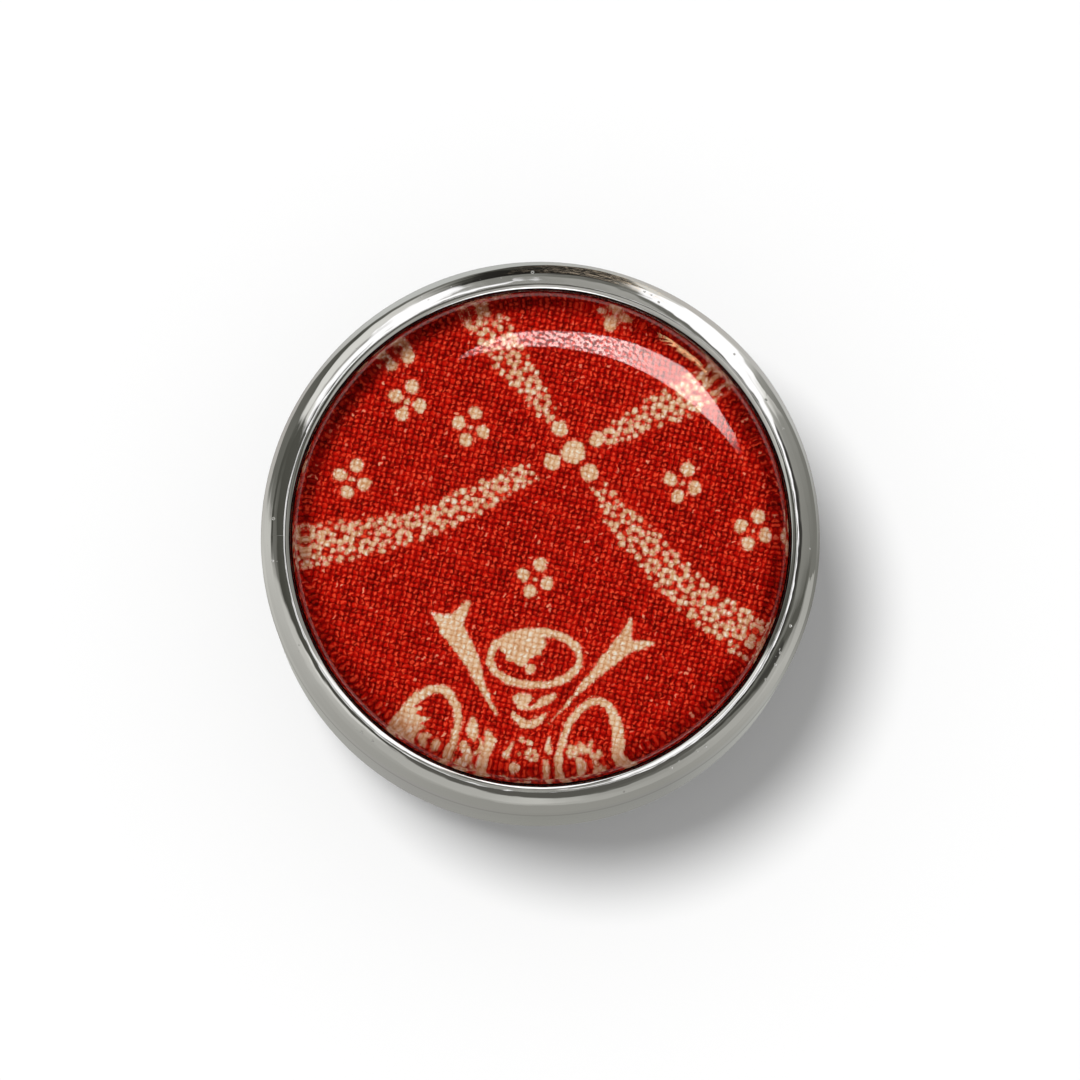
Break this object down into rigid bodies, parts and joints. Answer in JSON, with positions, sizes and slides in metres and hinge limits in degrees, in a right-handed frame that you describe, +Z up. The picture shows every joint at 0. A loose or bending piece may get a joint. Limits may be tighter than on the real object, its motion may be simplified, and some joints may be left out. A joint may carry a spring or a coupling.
{
  "type": "lapel pin",
  "caption": "Round polished lapel pin with printed red cotton under a clear glass dome, and a post with a push-on clutch behind.",
  "frame": {"origin": "middle of the flat underside of the clutch, which the pin stands on, and under the middle of its box", "axes": "+Z up, out of the face along the post; +Y to the top of the print as the picture shows it; +X to its right"},
  "size_m": [0.0224, 0.0224, 0.0143],
  "materials": {
    "bezel_plating": "polished silver-coloured plating",
    "printed_cotton": "plain-weave cotton, red ground with a cream print",
    "clear_glass": "clear polished glass",
    "clutch_plating": "plain bright plating"
  },
  "bodies": {
    "root": {"bezel": "bezel_plating", "cloth_disc": "printed_cotton", "glass_dome": "clear_glass", "clutch": "clutch_plating"}
  },
  "joints": []
}
